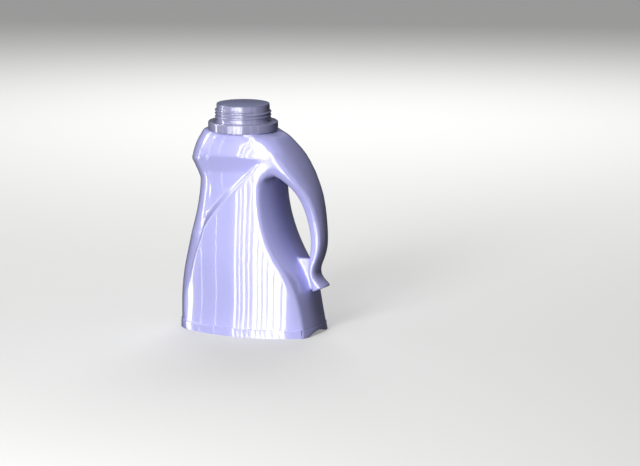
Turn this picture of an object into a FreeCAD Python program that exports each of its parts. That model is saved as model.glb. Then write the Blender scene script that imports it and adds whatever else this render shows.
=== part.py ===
"""Fabric softener bottle: a blow-moulded handle bottle, full, with a seal welded on its threaded neck.

The bottle is drawn about its neck axis: X runs from the nose (-X) to the handle (+X), Y is the
thickness, Z is up from the floor. It is the same on both sides of the plane Y = 0, apart from the
thread. Before export everything moves along X, so that the origin is the centre of the footprint.
It is sealed and can't be seen into, so the moulding is one solid. All sizes are millimetres.
"""
import FreeCAD, Part
import math
import os

V = FreeCAD.Vector
FAR = 130.0                     # reach of the cutting solids, beyond every surface
BOW_REACH = 100.0               # the same for a bowed face, inside its own radius

# ---- neck, collar and thread ---------------------------------------------------------------------------
rim_z = 227.2                   # top of the neck, where the seal lies
neck_radius = 26.6
collar_radius = 34.8
collar_base_z = 201.4
collar_height = 8.9
collar_edge_radius = 1.5
thread_depth = 1.6
thread_pitch = 3.3
thread_turns = 2.9
thread_above_collar = 2.6       # from the collar to the middle of the ridge at its lower end
thread_ridge_width = 2.4
thread_root = 0.4               # how far the ridge is sunk into the neck

# ---- seal over the mouth -------------------------------------------------------------------------------
seal_thickness = 0.8
seal_edge_radius = 0.6
seal_inset = 0.3                # how far its edge stays inside the neck's

# ---- side faces: bowed in plan, leaning back -------------------------------------------------------------
side_half_depth = 46.7          # at the top of the base strip, in the middle of the bow
side_lean = 0.0615              # how far a side face leans in, for each mm of height
bow_radius = 137.0
bow_centre_x = 13.25
shoulder_turn_z = 172.0         # the side faces start to turn in towards the collar here
shoulder_turn_radius = 85.0
body_under_collar = 0.6         # how far the body runs up inside the collar

# ---- edge of the raised side panel: an S curve, seen from the side -----------------------------------------
panel_edge_x = -46.7            # where it stands upright
panel_edge_arc_z = 25.0         # height where it starts to curve
panel_edge_arc_radius = 165.2
panel_edge_slant_deg = 46.3     # its last stretch, off the vertical
panel_edge_depth = 37.0         # half depth at which the curve has this place
panel_step_draft = 0.66         # how far the step runs out, for each mm of its depth
panel_step_inner = 20.0         # half depths between which the step is cut
panel_step_outer = 50.0

# ---- recess of the waist -----------------------------------------------------------------------------------
waist_half_depth = 30.3         # of its floor, in the middle of the bow
waist_flare_z = 135.0           # below this height the floor curves out to the side face
waist_flare_radius = 68.0
waist_low_z = 92.0
crest_z = 179.6
undercut_height = 16.5          # from the crest down to the floor of the waist
undercut_bow_radius = 165.0
undercut_root = 4.0             # how far the undercut runs on, inside the waist

# ---- nose: the rounded end opposite the handle; heights, corner x, tip x and tilt ----------------------------
nose_tuck = 0.6                 # the nose starts this far behind the faces beside it
column_nose = ((0.0, -64.2), (24.0, -64.8), (48.0, -63.6), (72.0, -59.3), (96.0, -54.0))
waist_nose = ((118.0, -28.0, -49.0), (145.0, -24.5, -45.0), (174.0, -24.5, -45.0))
undercut_nose = (159.5, -24.5, -45.0, 0.35)
crest_nose = (177.5, -26.0, -53.4, 0.28)
shoulder_nose = ((188.0, -22.0, -48.8), (202.5, -17.0, -40.0))

# ---- end wall behind the grip --------------------------------------------------------------------------------
grip_wall_x = 35.0
grip_wall_arc_z = 150.0
grip_wall_upper_radius = 143.0
grip_wall_turn_deg = 32.0
grip_wall_lower_radius = 120.0
grip_wall_foot_deg = 11.0
grip_wall_bulge = 4.5           # how far its middle stands out past its edges
grip_wall_edge_y = 30.0
grip_wall_margin = 1.3          # how far the wall is drawn on, past the side faces
grip_wall_edge_radius = 5.5
grip_top_reach = 9.0            # from the upright end wall out to the top of the opening
grip_top_z = 161.2
shoulder_ridge = ((14.5, 202.0), (27.0, 187.0), (38.0, 178.5), (44.0, 171.0))   # x, z under the handle

# ---- base --------------------------------------------------------------------------------------------------------
base_strip_height = 8.0
strip_proud = 0.4
strip_nose = (-48.5, -65.0)     # corner x, tip x
strip_end = (77.3, 1.5)         # corner x, bulge of the end
channel_half_width = 21.0
channel_height = 4.3

# ---- handle: outer point and inner point (x, z), half width, height of the domed back -----------------------------
handle_sections = (
    ((20.0, 209.5), (-7.0, 182.5), 29.4, 13.0),
    ((33.0, 206.0), (6.0, 179.0), 32.4, 13.0),
    ((52.2, 189.0), (27.0, 166.0), 34.0, 13.0),
    ((66.0, 171.5), (45.5, 160.4), 31.6, 11.0),
    ((76.3, 154.5), (60.5, 149.2), 25.5, 9.0),
    ((83.0, 140.5), (67.6, 137.6), 20.0, 7.5),
    ((87.4, 125.0), (72.3, 123.6), 15.6, 6.5),
    ((90.0, 108.5), (75.7, 108.0), 12.8, 6.0),
    ((90.7, 93.0), (77.2, 93.0), 12.0, 5.5),
    ((87.8, 78.0), (76.0, 79.5), 12.0, 5.0),
    ((82.6, 65.0), (74.8, 66.5), 12.0, 4.0),
    ((84.6, 57.0), (75.6, 58.5), 12.0, 4.5),
    ((91.0, 48.5), (78.9, 43.0), 12.3, 5.0),
)
handle_section_points = 32
handle_dome_power = 2.3
handle_grip_power = 5.0
handle_draft = 1.6              # how much narrower each side is at the grip than at the dome
web_half_width = 3.0
web_outline = ((52.0, 76.0), (78.0, 76.0), (78.0, 45.0), (62.0, 44.0))


def mirrored(shape):
    return shape.mirror(V(0, 0, 0), V(0, 1, 0))


def lines(points):
    return [Part.makeLine(p, q) for p, q in zip(points, points[1:])]


def closed_wire(points):
    return Part.Wire(lines(list(points) + [points[0]]))


# ---- depths of the bowed faces --------------------------------------------------------------------------------------

def bow_sag(x, radius=bow_radius):
    """How far a bowed face falls back at x."""
    return radius - math.sqrt(radius ** 2 - (x - bow_centre_x) ** 2)


def side_depth(z):
    """Half depth of the bottle in the middle of the bow at height z."""
    turn = max(0.0, z - shoulder_turn_z)
    fall = shoulder_turn_radius - math.sqrt(shoulder_turn_radius ** 2 - turn ** 2)
    return side_half_depth - side_lean * (z - base_strip_height) - fall


def waist_depth(z):
    """The same for the floor of the waist, which flares out to the side face below."""
    drop = max(0.0, waist_flare_z - z)
    return waist_half_depth + waist_flare_radius - math.sqrt(waist_flare_radius ** 2 - drop ** 2)


def bowed_wire(depth, z, radius=bow_radius):
    """Closed outline at height z: a bowed front at the given half depth, and far out behind it."""
    fall = bow_sag(bow_centre_x + BOW_REACH, radius)
    left = V(bow_centre_x - BOW_REACH, fall - depth, z)
    right = V(bow_centre_x + BOW_REACH, fall - depth, z)
    front = Part.Arc(left, V(bow_centre_x, -depth, z), right).toShape()
    return Part.Wire([front] + lines([right, V(right.x, FAR, z), V(left.x, FAR, z), left]))


def side_faces():
    """Space between the two bowed side faces."""
    heights = [0.0, 60.0, 120.0, 160.0] + [shoulder_turn_z + 8.0 * k for k in range(5)]
    block = Part.makeLoft([bowed_wire(side_depth(z), z) for z in heights], True)
    return block.common(mirrored(block))


# ---- nose -----------------------------------------------------------------------------------------------------------

def panel_edge(z):
    """X of the edge of the raised panel at height z, up to the end of its arc."""
    rise = max(0.0, z - panel_edge_arc_z)
    return panel_edge_x + panel_edge_arc_radius - math.sqrt(panel_edge_arc_radius ** 2 - rise ** 2)


def nose_wire(depth, corner_x, tip_x, z, tilt=0.0, tuck=nose_tuck):
    """Outline that is an arc round the nose and runs far out everywhere else."""
    corner_y = depth(z) - bow_sag(corner_x) - tuck
    def at(x, y):
        return V(x, y, z + tilt * (x - corner_x))
    start, end = at(corner_x, -corner_y), at(corner_x, corner_y)
    far = [end, at(corner_x, FAR), at(FAR, FAR), at(FAR, -FAR), at(corner_x, -FAR), start]
    return Part.Wire([Part.Arc(start, at(tip_x, 0), end).toShape()] + lines(far))


def nose_storeys():
    """Everything on the handle side of the nose: column, waist, undercut and shoulder."""
    column = [nose_wire(side_depth, panel_edge(z), tip_x, z) for z, tip_x in column_nose]
    waist = [nose_wire(waist_depth, x, tip_x, z) for z, x, tip_x in waist_nose]
    z, x, tip_x, tilt = undercut_nose
    root = nose_wire(waist_depth, x + undercut_root, tip_x + undercut_root, z - undercut_root, tilt)
    undercut = nose_wire(waist_depth, x, tip_x, z, tilt)
    z, x, tip_x, tilt = crest_nose
    crest = nose_wire(side_depth, x, tip_x, z, tilt, 2 * nose_tuck)
    shoulder = [nose_wire(side_depth, x, tip_x, z) for z, x, tip_x in shoulder_nose]
    return [Part.makeLoft(column, True), Part.makeLoft(column[-1:] + waist, True),
            Part.makeLoft([root, undercut, crest], True, True), Part.makeLoft([crest] + shoulder, True)]


# ---- body -----------------------------------------------------------------------------------------------------------

def grip_wall(shift, y):
    """Edges of the end wall in the plane at y, from the top of the opening down past the floor."""
    def arc(start, radius, from_deg, to_deg):
        a, b = math.radians(from_deg), math.radians(to_deg)
        side = math.copysign(1.0, b - a)
        def at(t):
            return V(start.x + side * radius * (math.cos(a) - math.cos(t)), y,
                     start.z - side * radius * (math.sin(t) - math.sin(a)))
        return Part.Arc(start, at((a + b) / 2), at(b)).toShape(), at(b)
    top = V(grip_wall_x + shift, y, grip_wall_arc_z)
    upper, bend = arc(top, grip_wall_upper_radius, 0.0, grip_wall_turn_deg)
    lower, low = arc(bend, grip_wall_lower_radius, grip_wall_turn_deg, grip_wall_foot_deg)
    foot_drop = low.z + base_strip_height
    foot = low + V(foot_drop * math.tan(math.radians(grip_wall_foot_deg)), 0, -foot_drop)
    return [upper, lower] + lines([low, foot]), top, foot


def arc_from_upright(low, high):
    """Arc that leaves low straight up and bends over to high, in the plane of both."""
    across, up = high.x - low.x, high.z - low.z
    radius = (across ** 2 + up ** 2) / (2 * across)
    half_turn = math.atan2(up, abs(radius) - abs(across)) / 2
    middle = low + V(radius * (1 - math.cos(half_turn)), 0, abs(radius) * math.sin(half_turn))
    return Part.Arc(high, middle, low).toShape()


def side_outline(shift, y):
    """Outline of the body seen from the side, in the plane at y, with the end wall moved by shift."""
    edges, wall_top, foot = grip_wall(shift, y)
    top_z = collar_base_z + body_under_collar
    corners = [foot, V(-FAR, y, foot.z), V(-FAR, y, top_z), V(shoulder_ridge[0][0], y, top_z)]
    corners += [V(x, y, z) for x, z in shoulder_ridge[1:]]
    corners.append(V(grip_wall_x + grip_top_reach, y, grip_top_z))
    return Part.Wire(lines(corners) + [arc_from_upright(wall_top, corners[-1])] + edges)


def on_grip_edge(edge):
    """Whether an edge is one of the long edges of the end wall."""
    first, last = (edge.valueAt(t) for t in edge.ParameterRange)
    middle = edge.valueAt(sum(edge.ParameterRange) / 2)
    on_wall = middle.x > grip_wall_x - 2 and middle.z < grip_top_z and abs(middle.y) > 0.7 * grip_wall_edge_y
    return on_wall and abs(first.z - last.z) > base_strip_height / 2


def body():
    """The body up to the collar, before its waist is cut, with the edges of the end wall rounded."""
    reach = side_half_depth + grip_wall_margin
    fall = grip_wall_bulge * (1 - (reach / grip_wall_edge_y) ** 2)
    outlines = [side_outline(shift, y) for shift, y in ((fall, -reach), (grip_wall_bulge, 0.0), (fall, reach))]
    block = Part.makeLoft(outlines, True).common(side_faces())
    storeys = [block.common(storey) for storey in nose_storeys()]
    whole = storeys[0].fuse(storeys[1:])
    return whole.makeFillet(grip_wall_edge_radius, [e for e in whole.Edges if on_grip_edge(e)])


def panel_cutter():
    """Everything above and left of the raised panel's edge; its step runs out with depth."""
    slant = math.radians(panel_edge_slant_deg)
    arc_end_z = panel_edge_arc_z + panel_edge_arc_radius * math.sin(slant)
    def outline(depth):
        shift = (panel_edge_depth - depth) * panel_step_draft
        def edge(z):
            turn = math.asin((z - panel_edge_arc_z) / panel_edge_arc_radius)
            return V(panel_edge(z) - shift * math.cos(turn), -depth, z + shift * math.sin(turn))
        low, middle, high = edge(waist_low_z / 2), edge(waist_low_z), edge(arc_end_z)
        top = high + V(math.sin(slant), 0, math.cos(slant)) * (rim_z - crest_z + undercut_height)
        straight = lines([high, top, V(-FAR, -depth, top.z), V(-FAR, -depth, low.z), low])
        return Part.Wire([Part.Arc(low, middle, high).toShape()] + straight)
    return Part.makeLoft([outline(panel_step_inner), outline(panel_step_outer)], True, True)


def waist_recess():
    """The space that is cut from the front, over the waist."""
    top_z = crest_z + undercut_height
    low_heights = [waist_low_z + k * (waist_flare_z - waist_low_z) / 4 for k in range(5)]
    low = Part.makeLoft([bowed_wire(waist_depth(z), z) for z in low_heights], True)
    high = Part.makeLoft([bowed_wire(waist_depth(z), z) for z in (waist_flare_z, top_z)], True, True)
    crest_depth = side_depth(crest_z)
    slope = (crest_depth - waist_depth(crest_z)) / undercut_height
    undercut = Part.makeLoft([bowed_wire(crest_depth + slope * (z - crest_z), z, undercut_bow_radius)
                              for z in (waist_low_z, top_z)], True, True)
    space = Part.makeBox(2 * BOW_REACH - 1, FAR, top_z - 1 - waist_low_z,
                         V(bow_centre_x - BOW_REACH + 0.5, -FAR, waist_low_z))
    return space.cut(low).cut(high).cut(undercut).common(panel_cutter())


def base_strip():
    """Upright strip round the bottom, a little proud of the leaning faces."""
    depth = side_half_depth + strip_proud
    def corner(x, side):
        return V(x, side * (depth - bow_sag(x)), 0)
    nose, end = strip_nose[0], strip_end[0]
    a, b, c, d = corner(nose, -1), corner(end, -1), corner(end, 1), corner(nose, 1)
    outline = Part.Wire([Part.Arc(a, V(bow_centre_x, -depth, 0), b).toShape(),
                         Part.Arc(b, V(end + strip_end[1], 0, 0), c).toShape(),
                         Part.Arc(c, V(bow_centre_x, depth, 0), d).toShape(),
                         Part.Arc(d, V(strip_nose[1], 0, 0), a).toShape()])
    return Part.Face(outline).extrude(V(0, 0, base_strip_height))


def floor_channel():
    """Shallow arched channel along the bottom."""
    a, b = V(-FAR, -channel_half_width, 0), V(-FAR, channel_half_width, 0)
    arch = Part.Arc(a, V(-FAR, 0, channel_height), b).toShape()
    return Part.Face(Part.Wire([arch] + lines([b, a]))).extrude(V(2 * FAR, 0, 0))


# ---- handle ---------------------------------------------------------------------------------------------------------

def handle_wire(outer, inner, half_width, dome):
    """Section of the handle: flat towards the opening, domed on the outside."""
    o, i = V(outer[0], 0, outer[1]), V(inner[0], 0, inner[1])
    out = (o - i).normalize()
    base, flat = o - out * dome, (o - i).Length - dome
    points = []
    for k in range(handle_section_points):
        t = 2 * math.pi * k / handle_section_points
        c, s = math.cos(t), math.sin(t)
        reach, power = (dome, handle_dome_power) if c > 0 else (flat, handle_grip_power)
        along = math.copysign(abs(c) ** (2 / power), c) * reach
        width = half_width - handle_draft * max(0.0, -along) / flat
        points.append(base + out * along + V(0, math.copysign(abs(s) ** (2 / power), s) * width, 0))
    curve = Part.BSplineCurve()
    curve.interpolate(Points=points, PeriodicFlag=True)
    return Part.Wire([curve.toShape()])


def handle():
    """Grip handle, from under the collar down to its lip."""
    return Part.makeLoft([handle_wire(*section) for section in handle_sections], True)


def web():
    """Web that ties the foot of the handle to the end wall."""
    outline = closed_wire([V(x, -web_half_width, z) for x, z in web_outline])
    return Part.Face(outline).extrude(V(0, 2 * web_half_width, 0))


# ---- neck -----------------------------------------------------------------------------------------------------------

def rounded_disc(radius, z, height, edge_radius):
    """Disc from z up, with its upper edge rounded."""
    disc = Part.makeCylinder(radius, height, V(0, 0, z))
    return disc.makeFillet(edge_radius, [e for e in disc.Edges if e.BoundBox.ZMin > z + height / 2])


def thread():
    """Right-hand thread ridge round the neck."""
    low_z = collar_base_z + collar_height + thread_above_collar
    spine = Part.makeHelix(thread_pitch, thread_turns * thread_pitch, neck_radius)
    spine.translate(V(0, 0, low_z))
    half, root, crest = thread_ridge_width / 2, neck_radius - thread_root, neck_radius + thread_depth
    profile = closed_wire([V(root, 0, low_z - half), V(crest, 0, low_z - half / 3),
                           V(crest, 0, low_z + half / 3), V(root, 0, low_z + half)])
    return Part.Wire(spine).makePipeShell([profile], True, True)


# ---- pieces ---------------------------------------------------------------------------------------------------------

def bottle():
    """The whole moulding, with the softener that fills it."""
    recess = waist_recess()
    waisted = body().cut([recess, mirrored(recess)])
    collar = rounded_disc(collar_radius, collar_base_z, collar_height, collar_edge_radius)
    neck = Part.makeCylinder(neck_radius, rim_z - collar_base_z, V(0, 0, collar_base_z))
    whole = waisted.fuse([handle(), web(), collar, neck, base_strip()])
    return whole.cut(floor_channel()).fuse(thread())


def mouth_seal():
    """Disc that is welded to the rim of the neck."""
    return rounded_disc(neck_radius - seal_inset, rim_z, seal_thickness, seal_edge_radius)


def main():
    """Build the pieces, centre them on the bottle's footprint and write one STEP file each."""
    os.makedirs("parts", exist_ok=True)
    pieces = {"bottle": bottle(), "mouth_seal": mouth_seal()}
    box = pieces["bottle"].optimalBoundingBox()
    for name, shape in pieces.items():
        shape.translate(V(-(box.XMin + box.XMax) / 2, 0, 0))
        shape.exportStep(f"parts/{name}.step")
        print(name, shape.isValid(), len(shape.Solids), round(shape.Volume), shape.optimalBoundingBox())


if __name__ == "__main__":
    main()
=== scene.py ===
"""Looks of the fabric softener bottle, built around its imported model.

The moulding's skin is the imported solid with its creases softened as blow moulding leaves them. The
parts that a mould keeps crisp are modelled over it: the base strip, the collar, the neck with its
thread, and the seal on the rim. Everything is in metres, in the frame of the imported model.
"""
from __future__ import annotations

import logging
import math
from dataclasses import dataclass, field
from enum import Enum
from typing import Callable

import bmesh
import bpy
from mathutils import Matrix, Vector
from mathutils.kdtree import KDTree

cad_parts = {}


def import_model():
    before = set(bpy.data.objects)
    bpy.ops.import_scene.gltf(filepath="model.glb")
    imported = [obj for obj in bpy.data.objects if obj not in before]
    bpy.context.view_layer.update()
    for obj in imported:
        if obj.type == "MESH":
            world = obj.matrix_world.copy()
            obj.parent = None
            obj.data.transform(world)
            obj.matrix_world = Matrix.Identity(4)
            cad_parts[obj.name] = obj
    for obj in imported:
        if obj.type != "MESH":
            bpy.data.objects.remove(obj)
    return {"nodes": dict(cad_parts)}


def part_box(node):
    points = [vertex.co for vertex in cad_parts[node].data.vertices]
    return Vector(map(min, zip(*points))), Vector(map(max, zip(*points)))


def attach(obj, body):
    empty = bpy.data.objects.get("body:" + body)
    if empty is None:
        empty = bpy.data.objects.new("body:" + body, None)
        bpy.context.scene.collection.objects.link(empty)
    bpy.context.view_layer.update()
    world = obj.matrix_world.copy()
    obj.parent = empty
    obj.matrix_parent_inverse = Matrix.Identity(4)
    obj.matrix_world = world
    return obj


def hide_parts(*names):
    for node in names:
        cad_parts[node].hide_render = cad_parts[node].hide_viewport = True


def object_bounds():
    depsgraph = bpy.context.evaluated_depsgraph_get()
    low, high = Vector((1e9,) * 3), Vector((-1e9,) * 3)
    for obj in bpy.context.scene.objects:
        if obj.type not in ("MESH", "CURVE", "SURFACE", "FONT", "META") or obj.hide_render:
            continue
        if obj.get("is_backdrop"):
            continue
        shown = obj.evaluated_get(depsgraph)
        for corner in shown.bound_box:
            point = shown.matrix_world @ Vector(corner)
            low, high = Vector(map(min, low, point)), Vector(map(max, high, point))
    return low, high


LOG = logging.getLogger("softener_bottle")
MM = 0.001
FULL_TURN = 2.0 * math.pi
BODY = "root"

# Each plastic's colour, and the colour that it is mottled with. The collar, neck and thread get a deeper,
# greyer lavender than the body.
LAVENDER = (0.49, 0.49, 0.88)
DEEP_LAVENDER = (0.46, 0.46, 0.84)
NECK_LAVENDER = (0.30, 0.30, 0.47)
NECK_DEEP_LAVENDER = (0.27, 0.27, 0.43)
FILM = (0.21, 0.22, 0.36)
DEEP_FILM = (0.19, 0.20, 0.33)


class Slot(Enum):
    """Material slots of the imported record."""

    MOULDING = "moulding"
    SEAL = "seal"


class Grain(Enum):
    """Which way the fine waviness of a moulded surface runs."""

    EVEN = (1.0, 1.0, 1.0)
    UPRIGHT = (1.0, 1.0, 0.06)


class Reach(Enum):
    """What a lamp works on: the body colour of a surface, or only its gloss."""

    MATT = "matt"
    GLOSS = "gloss"


# ---- mesh helpers -----------------------------------------------------------------------------------


def shade(bm: bmesh.types.BMesh, smooth_deg: float) -> None:
    """Shade a shape smooth, apart from the edges that bend by more than an angle.

    Args:
        bm: The shape.
        smooth_deg: Edges that bend by more than this stay sharp.
    """
    limit = math.radians(smooth_deg)
    bm.normal_update()
    for face in bm.faces:
        face.smooth = True
    for edge in bm.edges:
        edge.smooth = edge.calc_face_angle(0.0) < limit


def new_object(name: str, bm: bmesh.types.BMesh, smooth_deg: float = 40.0) -> bpy.types.Object:
    """Turn a bmesh into an object that is shaded smooth, apart from its sharp edges.

    Args:
        name: Name of the piece.
        bm: The finished shape, which this function frees.
        smooth_deg: Edges that bend by more than this stay sharp.

    Returns:
        The linked object, standing at the origin.
    """
    shade(bm, smooth_deg)
    mesh = bpy.data.meshes.new(name)
    bm.to_mesh(mesh)
    bm.free()
    piece = bpy.data.objects.new(name, mesh)
    bpy.context.scene.collection.objects.link(piece)
    return piece


def spun(profile: list[tuple[float, float]], centre: Vector, steps: int) -> bmesh.types.BMesh:
    """Turn a profile round an upright axis.

    Args:
        profile: Radius and height of each point, in order.
        centre: A point on the axis, from which the heights count.
        steps: Number of faces in a full turn.

    Returns:
        A closed ring of faces, or a cap where the profile meets the axis, with normals outward.
    """
    bm = bmesh.new()
    verts = [bm.verts.new(centre + Vector((radius, 0.0, height))) for radius, height in profile]
    edges = [bm.edges.new(pair) for pair in zip(verts, verts[1:])]
    bmesh.ops.spin(
        bm, geom=verts + edges, cent=centre, axis=(0, 0, 1), angle=FULL_TURN, steps=steps, use_merge=True
    )
    bmesh.ops.remove_doubles(bm, verts=bm.verts[:], dist=0.001 * MM)
    bmesh.ops.recalc_face_normals(bm, faces=bm.faces[:])
    return bm


def round_rings(bm: bmesh.types.BMesh, centre: Vector, rings: list[tuple[float, float, float]]) -> None:
    """Round the circular edges of a spun shape.

    Args:
        bm: The spun shape.
        centre: The centre that the shape was spun about.
        rings: Radius and height of each edge, and the radius of its rounding.
    """
    for radius, height, rounding in rings:
        ring = [
            edge
            for edge in bm.edges
            if all(_on_ring(vert.co - centre, radius, height) for vert in edge.verts)
        ]
        bmesh.ops.bevel(
            bm, geom=ring, offset=rounding, segments=5, profile=0.5, affect="EDGES", material=-1
        )


def cut_closed(bm: bmesh.types.BMesh, z: float, keep_above: bool) -> list[bmesh.types.BMFace]:
    """Cut a closed shape with a level plane and close the cut.

    Args:
        bm: The shape.
        z: Height of the plane.
        keep_above: Whether the part above the plane is kept, or the part below.

    Returns:
        The faces that close the cut.
    """
    geom = bm.verts[:] + bm.edges[:] + bm.faces[:]
    bmesh.ops.bisect_plane(
        bm, geom=geom, plane_co=(0, 0, z), plane_no=(0, 0, -1 if keep_above else 1), clear_outer=True
    )
    rim = [edge for edge in bm.edges if edge.is_boundary]
    faces = bmesh.ops.holes_fill(bm, edges=rim, sides=0)["faces"]
    return bmesh.ops.triangulate(bm, faces=faces)["faces"]


def merged_copy(source: bpy.types.Object) -> bmesh.types.BMesh:
    """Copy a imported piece's loose triangles and merge them into one closed shape.

    Args:
        source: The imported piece.

    Returns:
        The closed copy.
    """
    bm = bmesh.new()
    bm.from_mesh(source.data)
    bmesh.ops.remove_doubles(bm, verts=bm.verts[:], dist=0.01 * MM)
    return bm


def bent_edges(
    bm: bmesh.types.BMesh, least_deg: float, most_deg: float, wanted: Callable[[Vector], bool]
) -> KDTree:
    """Collect points along the edges that bend within a range, as a search tree.

    Args:
        bm: The shape.
        least_deg: Smallest bend of an edge that counts.
        most_deg: Largest bend of an edge that counts.
        wanted: Tells from an edge's middle whether the edge counts.

    Returns:
        The tree, with a point at least every millimetre.
    """
    low, high = math.radians(least_deg), math.radians(most_deg)
    points: list[Vector] = []
    for edge in bm.edges:
        a, b = (vert.co for vert in edge.verts)
        bend = edge.calc_face_angle(0.0) if len(edge.link_faces) == 2 else 0.0
        if low <= bend <= high and wanted((a + b) / 2.0):
            count = max(1, math.ceil((b - a).length / MM))
            points += [a.lerp(b, step / count) for step in range(count + 1)]
    tree = KDTree(len(points))
    for place, point in enumerate(points):
        tree.insert(point, place)
    tree.balance()
    return tree


def evenly_meshed(piece: bpy.types.Object, depth: int, scale: float) -> bmesh.types.BMesh:
    """Cover a piece with an even mesh of small squares that keeps its creases.

    Args:
        piece: The closed piece, which gets the new mesh.
        depth: How many times the box round the piece is halved.
        scale: Size of the piece as a share of that box.

    Returns:
        The new mesh, open for shaping.
    """
    remesh = piece.modifiers.new("even_mesh", "REMESH")
    remesh.mode = "SHARP"
    remesh.octree_depth = depth
    remesh.scale = scale
    remesh.sharpness = 1.0
    remesh.use_remove_disconnected = True
    graph = bpy.context.evaluated_depsgraph_get()
    piece.data = bpy.data.meshes.new_from_object(piece.evaluated_get(graph))
    piece.modifiers.clear()
    bm = bmesh.new()
    bm.from_mesh(piece.data)
    mend_pinches(bm)
    return bm


def relax(bm: bmesh.types.BMesh, verts: list[bmesh.types.BMVert], passes: int) -> None:
    """Relax the given vertices a number of times."""
    for _ in range(passes):
        bmesh.ops.smooth_vert(bm, verts=verts, factor=0.5, use_axis_x=True, use_axis_y=True, use_axis_z=True)


def close_up(
    piece: bpy.types.Object, bm: bmesh.types.BMesh, smooth_deg: float = 55.0
) -> bpy.types.Object:
    """Write a softened shape into its piece, shaded smooth apart from its sharpest edges.

    Args:
        piece: The piece that the shape was meshed from.
        bm: The finished shape, which this function frees.
        smooth_deg: Edges that bend by more than this stay sharp.

    Returns:
        The same piece.
    """
    shade(bm, smooth_deg)
    bm.to_mesh(piece.data)
    bm.free()
    return piece


def mend_pinches(bm: bmesh.types.BMesh) -> None:
    """Open and refill the few places where the surface touches itself along an edge.

    Args:
        bm: The evenly meshed shape.
    """
    pinched = {vert for edge in bm.edges if len(edge.link_faces) > 2 for vert in edge.verts}
    bmesh.ops.delete(bm, geom=list(pinched), context="VERTS")
    rim = [edge for edge in bm.edges if edge.is_boundary]
    faces = bmesh.ops.holes_fill(bm, edges=rim, sides=0)["faces"]
    bmesh.ops.triangulate(bm, faces=faces)


def eased(value: float, start: float, end: float) -> float:
    """Share of the way from start to end, eased at both ends."""
    share = min(1.0, max(0.0, (value - start) / (end - start)))
    return share * share * (3.0 - 2.0 * share)


def _on_ring(place: Vector, radius: float, height: float) -> bool:
    """Whether a place, counted from the axis, lies on a ring."""
    near = 0.002 * MM
    return abs(place.z - height) < near and abs(math.hypot(place.x, place.y) - radius) < near


# ---- finishes ---------------------------------------------------------------------------------------


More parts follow.
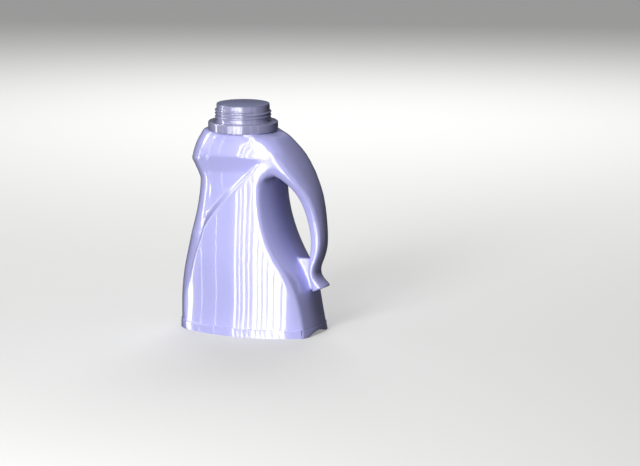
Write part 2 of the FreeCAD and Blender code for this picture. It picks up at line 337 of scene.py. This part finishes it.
@dataclass(frozen=True)
class MouldedPlastic:
    """Lavender gloss plastic with the slight waviness that blow moulding leaves."""

    name: str
    colour: tuple[float, float, float]
    deep_colour: tuple[float, float, float]
    roughness: float = 0.22
    coat: float = 1.0
    coat_roughness: float = 0.04
    mottle_scale: float = 22.0
    patch_scale: float = 90.0
    wave_scale: float = 60.0
    wave_depth: float = 0.013 * MM
    grain: Grain = Grain.EVEN
    peel_scale: float = 900.0
    peel_depth: float = 0.0015 * MM
    seam_height: float = 0.0
    seam_reach: float = 0.35 * MM
    stipple_scale: float = 1100.0
    stipple_depth: float = 0.0
    stipple_from: tuple[float, float] = (36.0 * MM, 46.0 * MM)
    stipple_side: float = 18.0 * MM
    stipple_fade: float = 4.0 * MM
    stipple_below: tuple[float, float] = (96.0 * MM, 80.0 * MM)
    stipple_above: tuple[float, float] = (38.0 * MM, 46.0 * MM)

    def build(self) -> bpy.types.Material:
        """Build the node tree of the finish.

        Returns:
            The material.
        """
        material = bpy.data.materials.new(self.name)
        material.use_nodes = True
        nodes, links = material.node_tree.nodes, material.node_tree.links
        shader = nodes["Principled BSDF"]
        shader.inputs["IOR"].default_value = 1.5
        shader.inputs["Coat Weight"].default_value = self.coat
        shader.inputs["Coat Roughness"].default_value = self.coat_roughness
        coords = nodes.new("ShaderNodeTexCoord")
        mottle = nodes.new("ShaderNodeTexNoise")
        mottle.inputs["Scale"].default_value = self.mottle_scale
        mottle.inputs["Detail"].default_value = 3.0
        links.new(coords.outputs["Object"], mottle.inputs["Vector"])
        tint = nodes.new("ShaderNodeMix")
        tint.data_type = "RGBA"
        tint.inputs["A"].default_value = (*self.deep_colour, 1.0)
        tint.inputs["B"].default_value = (*self.colour, 1.0)
        links.new(mottle.outputs["Fac"], tint.inputs["Factor"])
        links.new(tint.outputs["Result"], shader.inputs["Base Color"])
        self._gloss(nodes, links, coords, shader)
        self._waviness(nodes, links, coords, shader)
        return material

    def _gloss(
        self,
        nodes: bpy.types.Nodes,
        links: bpy.types.NodeLinks,
        coords: bpy.types.Node,
        shader: bpy.types.Node,
    ) -> None:
        """Vary the roughness a little over the surface.

        Args:
            nodes: Nodes of the finish.
            links: Links of the finish.
            coords: Node that gives the Object coordinates.
            shader: Node of the plastic.
        """
        patches = nodes.new("ShaderNodeTexNoise")
        patches.inputs["Scale"].default_value = self.patch_scale
        patches.inputs["Detail"].default_value = 4.0
        links.new(coords.outputs["Object"], patches.inputs["Vector"])
        spread = nodes.new("ShaderNodeMapRange")
        spread.inputs["To Min"].default_value = self.roughness * 0.8
        spread.inputs["To Max"].default_value = self.roughness * 1.25
        links.new(patches.outputs["Fac"], spread.inputs["Value"])
        links.new(spread.outputs["Result"], shader.inputs["Roughness"])

    def _waviness(
        self,
        nodes: bpy.types.Nodes,
        links: bpy.types.NodeLinks,
        coords: bpy.types.Node,
        shader: bpy.types.Node,
    ) -> None:
        """Add the long waves of the mould, a fine orange peel, the parting line and the stipple.

        Args:
            nodes: Nodes of the finish.
            links: Links of the finish.
            coords: Node that gives the Object coordinates.
            shader: Node of the plastic.
        """
        stretch = nodes.new("ShaderNodeMapping")
        stretch.inputs["Scale"].default_value = self.grain.value
        links.new(coords.outputs["Object"], stretch.inputs["Vector"])
        waves = nodes.new("ShaderNodeTexNoise")
        waves.inputs["Scale"].default_value = self.wave_scale
        waves.inputs["Detail"].default_value = 1.0
        links.new(stretch.outputs["Vector"], waves.inputs["Vector"])
        long_bump = nodes.new("ShaderNodeBump")
        long_bump.inputs["Strength"].default_value = 1.0
        long_bump.inputs["Distance"].default_value = self.wave_depth
        links.new(waves.outputs["Fac"], long_bump.inputs["Height"])
        peel = nodes.new("ShaderNodeTexNoise")
        peel.inputs["Scale"].default_value = self.peel_scale
        links.new(coords.outputs["Object"], peel.inputs["Vector"])
        fine_bump = nodes.new("ShaderNodeBump")
        fine_bump.inputs["Strength"].default_value = 1.0
        fine_bump.inputs["Distance"].default_value = self.peel_depth
        links.new(peel.outputs["Fac"], fine_bump.inputs["Height"])
        links.new(long_bump.outputs["Normal"], fine_bump.inputs["Normal"])
        last = fine_bump
        if self.seam_height > 0.0:
            last = self._parting_line(nodes, links, coords, last)
        if self.stipple_depth > 0.0:
            last = self._stippled_grip(nodes, links, coords, last)
        links.new(last.outputs["Normal"], shader.inputs["Normal"])

    def _parting_line(
        self,
        nodes: bpy.types.Nodes,
        links: bpy.types.NodeLinks,
        coords: bpy.types.Node,
        bump: bpy.types.Node,
    ) -> bpy.types.Node:
        """Raise the hairline where the two halves of the mould meet.

        Args:
            nodes: Nodes of the finish.
            links: Links of the finish.
            coords: Node that gives the Object coordinates.
            bump: Bump node that this one adds to.

        Returns:
            The bump node of the hairline.
        """
        axes = nodes.new("ShaderNodeSeparateXYZ")
        links.new(coords.outputs["Object"], axes.inputs["Vector"])
        away = nodes.new("ShaderNodeMath")
        away.operation = "ABSOLUTE"
        links.new(axes.outputs["Y"], away.inputs[0])
        line = nodes.new("ShaderNodeMapRange")
        line.interpolation_type = "SMOOTHSTEP"
        line.inputs["From Min"].default_value = 0.0
        line.inputs["From Max"].default_value = self.seam_reach
        line.inputs["To Min"].default_value = 1.0
        line.inputs["To Max"].default_value = 0.0
        links.new(away.outputs["Value"], line.inputs["Value"])
        ridge = nodes.new("ShaderNodeBump")
        ridge.inputs["Strength"].default_value = 1.0
        ridge.inputs["Distance"].default_value = self.seam_height
        links.new(line.outputs["Result"], ridge.inputs["Height"])
        links.new(bump.outputs["Normal"], ridge.inputs["Normal"])
        return ridge

    def _stippled_grip(
        self,
        nodes: bpy.types.Nodes,
        links: bpy.types.NodeLinks,
        coords: bpy.types.Node,
        bump: bpy.types.Node,
    ) -> bpy.types.Node:
        """Roughen the lower end of the handle and the web with a fine stipple.

        Args:
            nodes: Nodes of the finish.
            links: Links of the finish.
            coords: Node that gives the Object coordinates.
            bump: Bump node that this one adds to.

        Returns:
            The bump node of the stipple.
        """
        axes = nodes.new("ShaderNodeSeparateXYZ")
        links.new(coords.outputs["Object"], axes.inputs["Vector"])
        share = None
        near, far = self.stipple_side, self.stipple_side + self.stipple_fade
        limits = (
            ("X", self.stipple_from),
            ("Y", (-far, -near)),
            ("Y", (far, near)),
            ("Z", self.stipple_below),
            ("Z", self.stipple_above),
        )
        for axis, span in limits:
            ramp = nodes.new("ShaderNodeMapRange")
            ramp.interpolation_type = "SMOOTHSTEP"
            low, high = min(span), max(span)
            rising = span[0] < span[1]
            ramp.inputs["From Min"].default_value = low
            ramp.inputs["From Max"].default_value = high
            ramp.inputs["To Min"].default_value = 0.0 if rising else 1.0
            ramp.inputs["To Max"].default_value = 1.0 if rising else 0.0
            links.new(axes.outputs[axis], ramp.inputs["Value"])
            if share is None:
                share = ramp.outputs["Result"]
                continue
            both = nodes.new("ShaderNodeMath")
            both.operation = "MULTIPLY"
            links.new(share, both.inputs[0])
            links.new(ramp.outputs["Result"], both.inputs[1])
            share = both.outputs["Value"]
        dots = nodes.new("ShaderNodeTexNoise")
        dots.inputs["Scale"].default_value = self.stipple_scale
        dots.inputs["Detail"].default_value = 1.0
        links.new(coords.outputs["Object"], dots.inputs["Vector"])
        raised = nodes.new("ShaderNodeMath")
        raised.operation = "MULTIPLY"
        links.new(dots.outputs["Fac"], raised.inputs[0])
        links.new(share, raised.inputs[1])
        texture = nodes.new("ShaderNodeBump")
        texture.inputs["Strength"].default_value = 1.0
        texture.inputs["Distance"].default_value = self.stipple_depth
        links.new(raised.outputs["Value"], texture.inputs["Height"])
        links.new(bump.outputs["Normal"], texture.inputs["Normal"])
        return texture


@dataclass(frozen=True)
class Backdrop:
    """Plain pale studio surface that throws little light back at the bottle."""

    name: str = "studio_paper"
    colour: tuple[float, float, float] = (0.48, 0.48, 0.475)
    bounce_colour: tuple[float, float, float] = (0.16, 0.16, 0.16)
    lift: float = 0.56
    roughness: float = 0.9
    grain_scale: float = 400.0
    grain_depth: float = 0.05 * MM

    def build(self) -> bpy.types.Material:
        """Build a matt surface, which gloss sees through to the studio below.

        Returns:
            The material.
        """
        material = bpy.data.materials.new(self.name)
        material.use_nodes = True
        nodes, links = material.node_tree.nodes, material.node_tree.links
        shader = nodes["Principled BSDF"]
        shader.inputs["Roughness"].default_value = self.roughness
        shader.inputs["Specular IOR Level"].default_value = 0.1
        shader.inputs["Emission Color"].default_value = (*self.colour, 1.0)
        path = nodes.new("ShaderNodeLightPath")
        shown = nodes.new("ShaderNodeMix")
        shown.data_type = "RGBA"
        shown.inputs["A"].default_value = (*self.bounce_colour, 1.0)
        shown.inputs["B"].default_value = (*self.colour, 1.0)
        links.new(path.outputs["Is Camera Ray"], shown.inputs["Factor"])
        links.new(shown.outputs["Result"], shader.inputs["Base Color"])
        pale = nodes.new("ShaderNodeMath")
        pale.operation = "MULTIPLY"
        pale.inputs[1].default_value = self.lift
        links.new(path.outputs["Is Camera Ray"], pale.inputs[0])
        links.new(pale.outputs["Value"], shader.inputs["Emission Strength"])
        grain = nodes.new("ShaderNodeTexNoise")
        grain.inputs["Scale"].default_value = self.grain_scale
        bump = nodes.new("ShaderNodeBump")
        bump.inputs["Distance"].default_value = self.grain_depth
        links.new(grain.outputs["Fac"], bump.inputs["Height"])
        links.new(bump.outputs["Normal"], shader.inputs["Normal"])
        clear = nodes.new("ShaderNodeBsdfTransparent")
        choice = nodes.new("ShaderNodeMixShader")
        links.new(path.outputs["Is Glossy Ray"], choice.inputs["Fac"])
        links.new(shader.outputs["BSDF"], choice.inputs[1])
        links.new(clear.outputs["BSDF"], choice.inputs[2])
        links.new(choice.outputs["Shader"], nodes["Material Output"].inputs["Surface"])
        return material


# ---- the moulding -------------------------------------------------------------------------------------


@dataclass
class Skin:
    """Skin of the moulding: body, waist, shoulder, handle and web as one softened surface."""

    source: bpy.types.Object
    neck_x: float
    mesh_depth: int = 8
    mesh_scale: float = 0.675
    strip_top: float = 8.0 * MM
    strip_gap: float = 0.05 * MM
    skirt: float = 2.5 * MM
    collar_radius: float = 34.8 * MM
    collar_low_z: float = 201.4 * MM
    collar_gap: float = 0.02 * MM
    collar_cut_z: float = 206.0 * MM
    foot_margin: float = 0.7 * MM
    foot_reach: float = 2.0 * MM
    shoulder_drop: float = 4.8 * MM
    nose_drop: float = 0.8 * MM
    drop_reach: float = 11.0 * MM
    drop_depths: tuple[float, float] = (8.0 * MM, 2.0 * MM)
    crease_deg: float = 8.0
    soft_deg: tuple[float, float] = (4.0, 60.0)
    crease_reach: float = 1.3 * MM
    face_passes: int = 90
    fillet_reach: float = 3.5 * MM
    fillet_passes: int = 12
    edge_passes: int = 9
    blend_low: Vector = field(default_factory=lambda: Vector((12.0, -40.0, 158.0)) * MM)
    blend_high: Vector = field(default_factory=lambda: Vector((34.0, 40.0, 200.5)) * MM)
    tip_x: float = 20.0 * MM
    tip_z: float = 182.5 * MM
    # reach round the soft creases, and how often it is relaxed
    blend_steps: tuple[tuple[float, int], ...] = ((8.0 * MM, 80), (5.0 * MM, 50), (3.0 * MM, 20))

    def build(self) -> bpy.types.Object:
        """Build the skin from the moulding.

        Returns:
            The skin's object.
        """
        bm = self._trimmed()
        creases = bent_edges(bm, self.crease_deg, 180.0, lambda at: not self._in_blend(at))
        soft = bent_edges(bm, *self.soft_deg, self._in_blend)
        piece = new_object("bottle_skin", bm)
        bm = evenly_meshed(piece, self.mesh_depth, self.mesh_scale)
        self._lower_shoulder(bm)
        free = [
            vert
            for vert in bm.verts
            if creases.find(vert.co)[2] > self.crease_reach and not self._at_collar(vert.co)
        ]
        relax(bm, free, self.face_passes)
        for reach, passes in self.blend_steps:
            relax(bm, [vert for vert in free if soft.find(vert.co)[2] < reach], passes)
        foot = [vert for vert in bm.verts if self._from_collar_foot(vert.co) < self.fillet_reach]
        relax(bm, foot, self.fillet_passes)
        relax(bm, bm.verts[:], self.edge_passes)
        cut_closed(bm, self.collar_low_z + self.collar_gap, keep_above=False)
        return close_up(piece, bm)

    def _trimmed(self) -> bmesh.types.BMesh:
        """Copy the moulding between the base strip and the middle of the collar.

        Returns:
            The copy, closed at both ends, with a short skirt inside the base strip.
        """
        bm = merged_copy(self.source)
        cut_closed(bm, self.collar_cut_z, keep_above=False)
        skirt = cut_closed(bm, self.strip_top + self.strip_gap, keep_above=True)
        grown = bmesh.ops.extrude_face_region(bm, geom=skirt)["geom"]
        bmesh.ops.delete(bm, geom=skirt, context="FACES_ONLY")
        low = [item for item in grown if isinstance(item, bmesh.types.BMVert)]
        bmesh.ops.translate(bm, verts=low, vec=(0.0, 0.0, -self.skirt))
        return bm

    def _in_blend(self, point: Vector) -> bool:
        """Whether a point is where the shoulder flows into the handle.

        Args:
            point: The point.

        Returns:
            True inside the blend, apart from the tip of the panel below it.
        """
        low, high = self.blend_low, self.blend_high
        if point.x < self.tip_x and point.z < self.tip_z:
            return False
        return all(low[axis] < point[axis] < high[axis] for axis in range(3))

    def _radius(self, point: Vector) -> float:
        """Distance of a point from the neck's axis."""
        return math.hypot(point.x - self.neck_x, point.y)

    def _at_collar(self, point: Vector) -> bool:
        """Whether a point belongs to the collar or lies close to its foot.

        Args:
            point: The point.

        Returns:
            True on the collar and round its foot.
        """
        reach = self.collar_radius + self.foot_margin
        inside = point.z > self.collar_low_z - MM and self._radius(point) < reach
        return inside or self._from_collar_foot(point) < self.foot_reach

    def _from_collar_foot(self, point: Vector) -> float:
        """Distance of a point from the circle where the collar meets the shoulder."""
        return math.hypot(self._radius(point) - self.collar_radius, point.z - self.collar_low_z)

    def _lower_shoulder(self, bm: bmesh.types.BMesh) -> None:
        """Bring the shoulder down to the collar's foot, most of all on the handle's side.

        Args:
            bm: The evenly meshed skin.
        """
        lowest, full = (self.collar_low_z - depth for depth in self.drop_depths)
        for vert in bm.verts:
            beyond = self._radius(vert.co) - self.collar_radius
            if vert.co.z < lowest or beyond > self.drop_reach:
                continue
            towards_handle = (vert.co.x - self.neck_x) / max(self._radius(vert.co), MM)
            drop = self.nose_drop + (self.shoulder_drop - self.nose_drop) * eased(towards_handle, 0.5, 0.8)
            upper = eased(vert.co.z, lowest, full)
            vert.co.z -= drop * upper * (1.0 - eased(beyond, 0.0, self.drop_reach))


@dataclass
class BaseStrip:
    """Upright strip round the bottom, with the arched channel running under it."""

    source: bpy.types.Object
    height: float = 8.0 * MM
    gap: float = 0.01 * MM
    flat_deg: float = 0.2
    sharp_deg: float = 30.0
    edge_radius: float = 0.35 * MM
    edge_steps: int = 3

    def build(self) -> bpy.types.Object:
        """Build the strip from the lowest stretch of the moulding.

        Returns:
            The strip's object.
        """
        bm = merged_copy(self.source)
        cut_closed(bm, self.height - self.gap, keep_above=False)
        flat = math.radians(self.flat_deg)
        bmesh.ops.dissolve_limit(bm, angle_limit=flat, verts=bm.verts[:], edges=bm.edges[:])
        sharp = math.radians(self.sharp_deg)
        bmesh.ops.bevel(
            bm,
            geom=[edge for edge in bm.edges if edge.calc_face_angle(0.0) > sharp],
            offset=self.edge_radius,
            segments=self.edge_steps,
            profile=0.5,
            affect="EDGES",
            clamp_overlap=True,
            material=-1,
        )
        return new_object("base_strip", bm, self.sharp_deg)


# ---- collar, neck and thread ------------------------------------------------------------------------------


@dataclass
class Collar:
    """Ring that the cap's skirt lands on."""

    neck_x: float
    radius: float = 34.8 * MM
    low_z: float = 201.4 * MM
    height: float = 8.9 * MM
    inner_radius: float = 25.0 * MM
    edge_radius: float = 1.5 * MM
    foot_radius: float = 0.6 * MM
    cover: float = 0.1 * MM
    steps: int = 256

    def build(self) -> bpy.types.Object:
        """Build the collar.

        Returns:
            The collar's object.
        """
        radius = self.radius + self.cover
        top = self.height + self.cover / 2.0
        corners = [(self.inner_radius, 0.0), (radius, 0.0), (radius, top), (self.inner_radius, top)]
        centre = Vector((self.neck_x, 0.0, self.low_z))
        bm = spun(corners + corners[:1], centre, self.steps)
        round_rings(bm, centre, [(radius, 0.0, self.foot_radius), (radius, top, self.edge_radius)])
        return new_object("collar", bm, 60.0)


@dataclass
class Neck:
    """Threaded neck, from the collar up to the rim."""

    neck_x: float
    rim_z: float
    radius: float = 26.6 * MM
    foot_z: float = 210.3 * MM
    bore_radius: float = 24.8 * MM
    flare: float = 0.9 * MM
    flare_radius: float = 0.6 * MM
    rim_radius: float = 0.3 * MM
    sunk: float = 0.5 * MM
    steps: int = 256

    def build(self) -> bpy.types.Object:
        """Build the neck, with a small flare at its foot.

        Returns:
            The neck's object.
        """
        top = self.rim_z - self.foot_z
        corners = [
            (self.bore_radius, -self.sunk),
            (self.radius + self.flare, -self.sunk),
            (self.radius + self.flare, 0.0),
            (self.radius, self.flare),
            (self.radius, top),
            (self.bore_radius, top),
        ]
        centre = Vector((self.neck_x, 0.0, self.foot_z))
        bm = spun(corners + corners[:1], centre, self.steps)
        rings = [(self.radius, self.flare, self.flare_radius), (self.radius, top, self.rim_radius)]
        round_rings(bm, centre, rings)
        return new_object("neck", bm, 60.0)


@dataclass
class Thread:
    """Right-hand thread ridge round the neck."""

    neck_x: float
    root_radius: float = 26.3 * MM
    crest_radius: float = 28.2 * MM
    low_z: float = 212.9 * MM
    pitch: float = 3.3 * MM
    turns: float = 2.9
    width: float = 2.4 * MM
    profile_steps: int = 10
    steps_per_turn: int = 128
    run_in_deg: float = 25.0

    def build(self) -> bpy.types.Object:
        """Build the ridge, which rises out of the neck at both ends.

        Returns:
            The ridge's object.
        """
        bm = bmesh.new()
        centre = Vector((self.neck_x, 0.0, self.low_z))
        half, depth = self.width / 2.0, self.crest_radius - self.root_radius
        around = [math.pi * step / self.profile_steps for step in range(self.profile_steps + 1)]
        corners = [Vector((self.root_radius + depth * math.sin(a), 0.0, -half * math.cos(a))) for a in around]
        section = bm.faces.new([bm.verts.new(centre + corner) for corner in corners])
        steps = round(self.steps_per_turn * self.turns)
        bmesh.ops.spin(
            bm,
            geom=section.verts[:] + section.edges[:] + [section],
            cent=centre,
            axis=(0, 0, 1),
            dvec=(0.0, 0.0, self.pitch / self.steps_per_turn),
            angle=FULL_TURN * steps / self.steps_per_turn,
            steps=steps,
            use_merge=False,
        )
        for vert in bm.verts:
            arm = vert.co - centre
            part = math.atan2(arm.y, arm.x) / FULL_TURN
            turn = part + round(arm.z / self.pitch - part)
            arm.z = 0.0
            shift = (self.root_radius - arm.length) * (1.0 - self._rise(turn))
            vert.co += arm.normalized() * shift
        bmesh.ops.recalc_face_normals(bm, faces=bm.faces[:])
        return new_object("neck_thread", bm, 50.0)

    def _rise(self, turn: float) -> float:
        """How far the ridge stands out at a turn, as a share of its full depth."""
        return eased(min(turn, self.turns - turn), 0.0, self.run_in_deg / 360.0)


@dataclass
class MouthSeal:
    """Disc welded to the rim of the neck."""

    low: Vector
    high: Vector
    edge_radius: float = 0.6 * MM
    weld_margin: float = 1.2 * MM
    weld_width: float = 1.8 * MM
    weld_depth: float = 0.08 * MM
    weld_slope: float = 0.2 * MM
    steps: int = 256

    def build(self) -> bpy.types.Object:
        """Build the disc, with the shallow ring that welding presses in.

        Returns:
            The disc's object.
        """
        radius = (self.high.x - self.low.x) / 2.0
        thickness = self.high.z - self.low.z
        inner, outer = radius - self.weld_margin - self.weld_width, radius - self.weld_margin
        pressed = thickness - self.weld_depth
        corners = [
            (0.0, 0.0),
            (radius, 0.0),
            (radius, thickness),
            (outer, thickness),
            (outer - self.weld_slope, pressed),
            (inner + self.weld_slope, pressed),
            (inner, thickness),
            (0.0, thickness),
        ]
        centre = Vector(((self.low.x + self.high.x) / 2.0, 0.0, self.low.z))
        bm = spun(corners, centre, self.steps)
        round_rings(bm, centre, [(radius, thickness, self.edge_radius)])
        return new_object("welded_seal", bm, 60.0)


# ---- studio ------------------------------------------------------------------------------------------------


@dataclass(frozen=True)
class Lamp:
    """Soft box that faces the bottle."""

    name: str
    azimuth_deg: float
    elevation_deg: float
    distance: float
    width: float
    height: float
    brightness: float
    reach: Reach

    def place(self, target: Vector) -> None:
        """Place the lamp round the target and turn it to face the target.

        Args:
            target: Point that the lamp faces.
        """
        data = bpy.data.lights.new(self.name, "AREA")
        data.shape = "RECTANGLE"
        data.size, data.size_y = self.width, self.height
        data.energy = self.brightness * math.pi * self.width * self.height
        lamp = bpy.data.objects.new(self.name, data)
        back = direction(self.azimuth_deg, self.elevation_deg)
        lamp.location = target + back * self.distance
        lamp.rotation_euler = back.to_track_quat("Z", "Y").to_euler()
        lamp.visible_camera = False
        lamp.visible_diffuse = self.reach is not Reach.GLOSS
        lamp.visible_glossy = self.reach is not Reach.MATT
        bpy.context.scene.collection.objects.link(lamp)


def direction(azimuth_deg: float, elevation_deg: float) -> Vector:
    """Unit vector towards a place round the bottle; azimuth 0 is the front, 90 the handle's side."""
    a, e = math.radians(azimuth_deg), math.radians(elevation_deg)
    return Vector((math.sin(a) * math.cos(e), -math.cos(a) * math.cos(e), math.sin(e)))


@dataclass
class Studio:
    """Floor, lamps, world and camera."""

    low: Vector
    high: Vector
    azimuth_deg: float = 24.0
    elevation_deg: float = 10.5
    lens_mm: float = 270.0
    sensor_mm: float = 36.0
    frame_width_m: float = 0.640
    aim_right: float = 64.0 * MM
    aim_up: float = -16.6 * MM
    floor_size: float = 30.0
    world_colour: tuple[float, float, float] = (0.80, 0.81, 0.84)
    ambient: float = 0.05
    shown_strength: float = 0.9
    strip_span: tuple[float, float] = (-0.4, 2.0)
    strip_distance: float = 1.0
    lamps: tuple[Lamp, ...] = (
        Lamp("front_box", 0.0, 18.0, 1.8, 0.5, 1.0, 22.5, Reach.MATT),
        Lamp("side_fill", -85.0, 25.0, 1.8, 0.9, 1.0, 0.3, Reach.MATT),
        Lamp("top_box", 10.0, 75.0, 1.8, 1.0, 1.0, 3.0, Reach.MATT),
        Lamp("back_fill", 200.0, 32.0, 1.8, 1.2, 1.0, 7.0, Reach.MATT),
        Lamp("edge_glint", -79.0, 30.0, 1.0, 0.14, 0.36, 16.0, Reach.GLOSS),
    )
    # azimuth in degrees, width and brightness of each upright strip
    strips: tuple[tuple[float, float, float], ...] = (
        (-74.0, 0.100, 8.0),
        (-60.5, 0.010, 9.0),
        (-45.0, 0.010, 9.0),
        (-26.0, 0.034, 10.5),
        (-22.0, 0.020, 10.5),
        (-18.0, 0.036, 10.5),
        (-13.5, 0.024, 10.5),
        (-8.0, 0.062, 10.5),
        (-3.5, 0.050, 10.5),
        (1.0, 0.050, 10.5),
        (6.0, 0.074, 10.5),
        (12.0, 0.092, 10.5),
        (18.0, 0.060, 10.5),
        (50.0, 0.020, 6.0),
        (74.0, 0.024, 6.0),
    )

    def build(self) -> None:
        """Set the whole studio up."""
        centre = (self.low + self.high) / 2.0
        self._floor()
        for lamp in self.lamps:
            lamp.place(centre)
        bottom, top = self.strip_span
        middle = Vector((centre.x, centre.y, self.low.z + (bottom + top) / 2.0))
        for azimuth, width, brightness in self.strips:
            name = f"strip_{azimuth:+.0f}".replace("+", "right_").replace("-", "left_")
            strip = Lamp(
                name, azimuth, 0.0, self.strip_distance, width, top - bottom, brightness, Reach.GLOSS
            )
            strip.place(middle)
        self._world()
        self._camera(centre)
        bpy.context.scene.view_settings.view_transform = "Standard"

    def _floor(self) -> None:
        """Lay the floor under the bottle."""
        bm = bmesh.new()
        bmesh.ops.create_grid(bm, x_segments=1, y_segments=1, size=self.floor_size / 2.0)
        bmesh.ops.translate(bm, verts=bm.verts[:], vec=(0.0, 0.0, self.low.z))
        floor = new_object("floor", bm)
        floor.data.materials.append(Backdrop().build())
        floor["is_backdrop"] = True

    def _world(self) -> None:
        """Fill the studio with a plain pale light."""
        world = bpy.data.worlds.new("studio")
        world.use_nodes = True
        nodes, links = world.node_tree.nodes, world.node_tree.links
        background = nodes["Background"]
        background.inputs["Color"].default_value = (*self.world_colour, 1.0)
        path = nodes.new("ShaderNodeLightPath")
        strength = nodes.new("ShaderNodeMapRange")
        strength.inputs["To Min"].default_value = self.ambient
        strength.inputs["To Max"].default_value = self.shown_strength
        links.new(path.outputs["Is Camera Ray"], strength.inputs["Value"])
        links.new(strength.outputs["Result"], background.inputs["Strength"])
        bpy.context.scene.world = world

    def _camera(self, centre: Vector) -> None:
        """Stand the camera far back, so that the view is nearly flat.

        Args:
            centre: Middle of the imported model's box.
        """
        data = bpy.data.cameras.new("camera")
        data.lens = self.lens_mm
        data.sensor_width = self.sensor_mm
        distance = self.frame_width_m * self.lens_mm / self.sensor_mm
        data.clip_end = 4.0 * distance
        camera = bpy.data.objects.new("camera", data)
        back = direction(self.azimuth_deg, self.elevation_deg)
        turn = back.to_track_quat("Z", "Y")
        aim = centre + turn @ Vector((self.aim_right, self.aim_up, 0.0))
        camera.location = aim + back * distance
        camera.rotation_euler = turn.to_euler()
        bpy.context.scene.collection.objects.link(camera)
        bpy.context.scene.camera = camera


# ---- assembly ----------------------------------------------------------------------------------------------


def dress(piece: bpy.types.Object, finish: bpy.types.Material) -> bpy.types.Object:
    """Give a piece its finish and its body.

    Args:
        piece: The finished piece, in its place.
        finish: Material for the whole piece.

    Returns:
        The same piece.
    """
    piece.data.materials.clear()
    piece.data.materials.append(finish)
    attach(piece, BODY)
    LOG.info("%s: %d faces", piece.name, len(piece.data.polygons))
    return piece


def corners(bounds: tuple[Vector, Vector]) -> list[list[float]]:
    """Write a box's two corners as plain numbers."""
    return [[float(value) for value in corner] for corner in bounds]


def main() -> None:
    """Load the frame, build every piece over it and light it."""
    logging.basicConfig(level=logging.INFO, format="%(name)s: %(message)s")
    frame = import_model()
    cad_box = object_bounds()
    seal_low, seal_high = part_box("mouth_seal")
    moulding = frame["nodes"]["bottle"]
    neck_x = (seal_low.x + seal_high.x) / 2.0

    body_finish = MouldedPlastic(
        "lavender_plastic",
        LAVENDER,
        DEEP_LAVENDER,
        grain=Grain.UPRIGHT,
        seam_height=0.02 * MM,
        stipple_depth=0.06 * MM,
    ).build()
    # the collar, neck and thread get a deeper, greyer lavender than the body
    neck_finish = MouldedPlastic(
        "neck_lavender_plastic", NECK_LAVENDER, NECK_DEEP_LAVENDER, wave_depth=0.003 * MM
    ).build()
    seal_finish = MouldedPlastic("seal_film", FILM, DEEP_FILM, roughness=0.3, coat=0.2).build()

    skin = dress(Skin(moulding, neck_x).build(), body_finish)
    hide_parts("bottle")
    dress(BaseStrip(moulding).build(), body_finish)
    dress(Collar(neck_x).build(), neck_finish)
    dress(Neck(neck_x, seal_low.z).build(), neck_finish)
    dress(Thread(neck_x).build(), neck_finish)
    seal = dress(MouthSeal(seal_low, seal_high).build(), seal_finish)
    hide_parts("mouth_seal")

    Studio(*cad_box).build()


if __name__ == "__main__":
    main()
